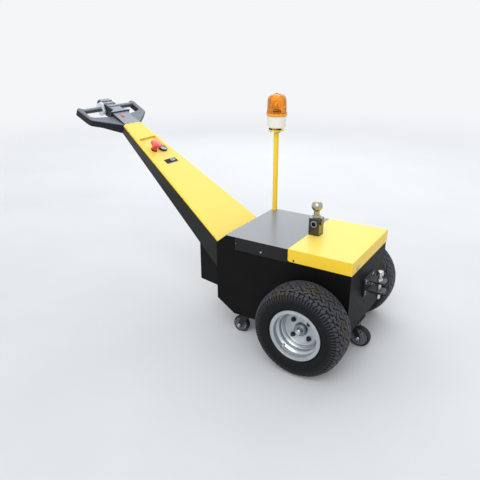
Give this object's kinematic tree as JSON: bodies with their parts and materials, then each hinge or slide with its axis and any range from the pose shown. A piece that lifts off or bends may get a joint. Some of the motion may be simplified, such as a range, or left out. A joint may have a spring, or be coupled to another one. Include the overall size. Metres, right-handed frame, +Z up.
{
  "type": "pedestrian electric tow tug",
  "caption": "Walk-behind battery tow tug: steel body on two driven turf wheels and castors, tapered tiller arm, tow ball, pin jaw and amber warning beacon.",
  "frame": {"origin": "middle of the bounding box's footprint, on the ground under the wheels", "axes": "+X from the tiller towards the pin jaw, along the machine's length; +Y towards the side with the beacon; +Z up"},
  "size_m": [1.65, 0.7734, 1.083],
  "materials": {
    "side_plate_right": "black satin powder coat",
    "side_plate_left": "black satin powder coat",
    "rear_plate": "black satin powder coat",
    "floor_pan": "black satin powder coat",
    "front_plate": "black satin powder coat",
    "battery_block": "plain block",
    "drive_unit": "plain block",
    "axle_tubes": "black paint",
    "lid": "black semi-gloss powder coat",
    "cover": "yellow gloss powder coat",
    "cover_catch": "zinc",
    "ball_post": "black paint",
    "post_bush": "bright steel",
    "tow_ball": "polished chrome",
    "hitch_bracket": "black paint",
    "hitch_pin": "bright zinc",
    "arm_channel": "black satin powder coat",
    "arm_foot": "black satin powder coat",
    "arm_panel": "yellow gloss powder coat",
    "switch_plate": "yellow gloss powder coat",
    "stop_collar": "moulded",
    "stop_button": "moulded",
    "key_switch": "turned and satin",
    "meter": "black glass-like window",
    "tiller_head": "fine-grained moulding",
    "grip_bar": "fine-grained moulding",
    "control_pod": "fine-grained moulding",
    "throttle_discs": "silver paint on moulding",
    "belly_button": "moulded",
    "indicator": "moulded",
    "beacon_pole": "yellow gloss powder coat",
    "beacon_plate": "yellow paint",
    "beacon_base": "moulded",
    "beacon_dome": "clear amber moulding",
    "beacon_lamp": "reflector and bulb",
    "castor_bracket": "black paint",
    "castor_mounts": "zinc plated",
    "tyre_right": "turf tread rubber",
    "rim_right": "silver lacquer",
    "hub_right": "machined",
    "tyre_left": "turf tread rubber",
    "rim_left": "silver lacquer",
    "hub_left": "machined",
    "castor_fork_front": "black paint",
    "castor_tyre_front": "moulded rubber",
    "castor_centre_front": "moulded",
    "castor_fork_right": "black paint",
    "castor_tyre_right": "moulded rubber",
    "castor_centre_right": "moulded",
    "castor_fork_left": "black paint",
    "castor_tyre_left": "moulded rubber",
    "castor_centre_left": "moulded"
  },
  "bodies": {
    "chassis": {"side_plate_right": "side_plate_right", "side_plate_left": "side_plate_left", "rear_plate": "rear_plate", "floor_pan": "floor_pan", "front_plate": "front_plate", "battery_block": "battery_block", "drive_unit": "drive_unit", "axle_tubes": "axle_tubes", "lid": "lid", "cover": "cover", "cover_catch": "cover_catch", "ball_post": "ball_post", "post_bush": "post_bush", "tow_ball": "tow_ball", "hitch_bracket": "hitch_bracket", "arm_channel": "arm_channel", "arm_foot": "arm_foot", "arm_panel": "arm_panel", "switch_plate": "switch_plate", "stop_collar": "stop_collar", "stop_button": "stop_button", "key_switch": "key_switch", "meter": "meter", "tiller_head": "tiller_head", "grip_bar": "grip_bar", "control_pod": "control_pod", "throttle_discs": "throttle_discs", "belly_button": "belly_button", "indicator": "indicator", "beacon_pole": "beacon_pole", "beacon_plate": "beacon_plate", "beacon_base": "beacon_base", "beacon_dome": "beacon_dome", "beacon_lamp": "beacon_lamp", "castor_bracket": "castor_bracket", "castor_mounts": "castor_mounts"},
    "drive_wheel_right": {"tyre_right": "tyre_right", "rim_right": "rim_right", "hub_right": "hub_right"},
    "drive_wheel_left": {"tyre_left": "tyre_left", "rim_left": "rim_left", "hub_left": "hub_left"},
    "pin": {"hitch_pin": "hitch_pin"},
    "castor_front": {"castor_fork_front": "castor_fork_front"},
    "castor_front_wheel": {"castor_tyre_front": "castor_tyre_front", "castor_centre_front": "castor_centre_front"},
    "castor_right": {"castor_fork_right": "castor_fork_right"},
    "castor_right_wheel": {"castor_tyre_right": "castor_tyre_right", "castor_centre_right": "castor_centre_right"},
    "castor_left": {"castor_fork_left": "castor_fork_left"},
    "castor_left_wheel": {"castor_tyre_left": "castor_tyre_left", "castor_centre_left": "castor_centre_left"}
  },
  "joints": [
    {"name": "drive_wheel_right_roll", "type": "hinge", "parent": "chassis", "child": "drive_wheel_right", "pos_m": [0.58002, -0.307, 0.2], "axis": [0, 1, 0], "continuous": true},
    {"name": "drive_wheel_left_roll", "type": "hinge", "parent": "chassis", "child": "drive_wheel_left", "pos_m": [0.58002, 0.307, 0.2], "axis": [0, 1, 0], "continuous": true},
    {"name": "castor_front_swivel", "type": "hinge", "parent": "chassis", "child": "castor_front", "pos_m": [0.69502, 0, 0.118], "axis": [0, 0, 1], "continuous": true},
    {"name": "castor_front_roll", "type": "hinge", "parent": "castor_front", "child": "castor_front_wheel", "pos_m": [0.73302, 0, 0.05], "axis": [0, 1, 0], "continuous": true},
    {"name": "castor_right_swivel", "type": "hinge", "parent": "chassis", "child": "castor_right", "pos_m": [0.23502, -0.176, 0.0996], "axis": [0, 0, 1], "continuous": true},
    {"name": "castor_right_roll", "type": "hinge", "parent": "castor_right", "child": "castor_right_wheel", "pos_m": [0.20302, -0.176, 0.04], "axis": [0, 1, 0], "continuous": true},
    {"name": "castor_left_swivel", "type": "hinge", "parent": "chassis", "child": "castor_left", "pos_m": [0.23502, 0.176, 0.0996], "axis": [0, 0, 1], "continuous": true},
    {"name": "castor_left_roll", "type": "hinge", "parent": "castor_left", "child": "castor_left_wheel", "pos_m": [0.20302, 0.176, 0.04], "axis": [0, 1, 0], "continuous": true},
    {"name": "hitch_pin_lift", "type": "slide", "parent": "chassis", "child": "pin", "axis": [0, 0, 1], "range_m": [0, 0.1]}
  ]
}
